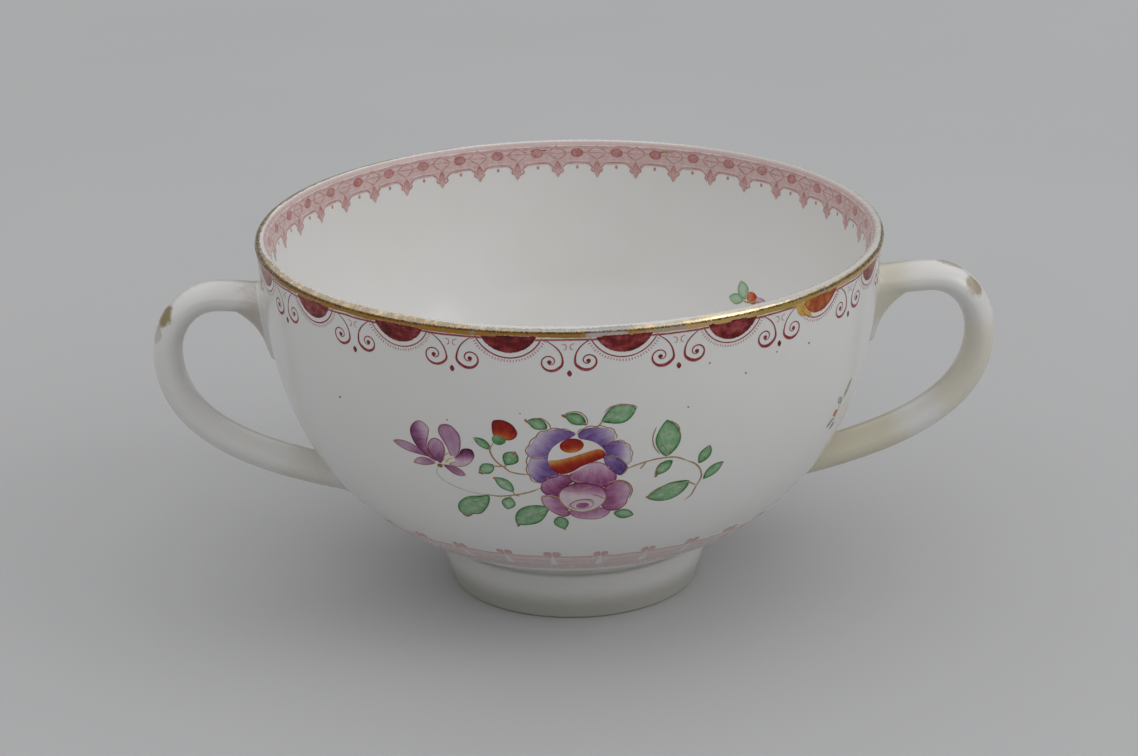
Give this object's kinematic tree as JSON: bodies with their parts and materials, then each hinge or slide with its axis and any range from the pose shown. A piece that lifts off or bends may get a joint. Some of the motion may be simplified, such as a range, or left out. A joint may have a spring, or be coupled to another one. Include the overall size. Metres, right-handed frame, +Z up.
{
  "type": "handled cup",
  "caption": "Porcelain cup with a round bowl on a turned foot ring, strap handles luted on at opposite sides and a gilt line over the lip.",
  "frame": {"origin": "centre of the circle that the foot ring stands on, at the standing surface", "axes": "+Z up through the middle of the bowl, +X towards the right handle, -Y towards the viewer of the flower spray"},
  "size_m": [0.1304, 0.096, 0.0574],
  "materials": {
    "porcelain": "glossy white glaze, faintly warm, with small dark specks",
    "foot_porcelain": "glazed sides, bare ground contact",
    "handle_porcelain": "glossy glaze, cream where it pooled, traces of worn gilding",
    "slip_and_glaze": "slip bead under pooled cream glaze",
    "gilding": "thin fired gold, rubbed and speckled"
  },
  "bodies": {
    "root": {"bowl": "porcelain", "foot_ring": "foot_porcelain", "gilt_rim": "gilding", "handle_left": "handle_porcelain", "handle_right": "handle_porcelain", "slip_bead_left_upper": "slip_and_glaze", "slip_bead_left_lower": "slip_and_glaze", "slip_bead_right_upper": "slip_and_glaze", "slip_bead_right_lower": "slip_and_glaze"}
  },
  "joints": []
}
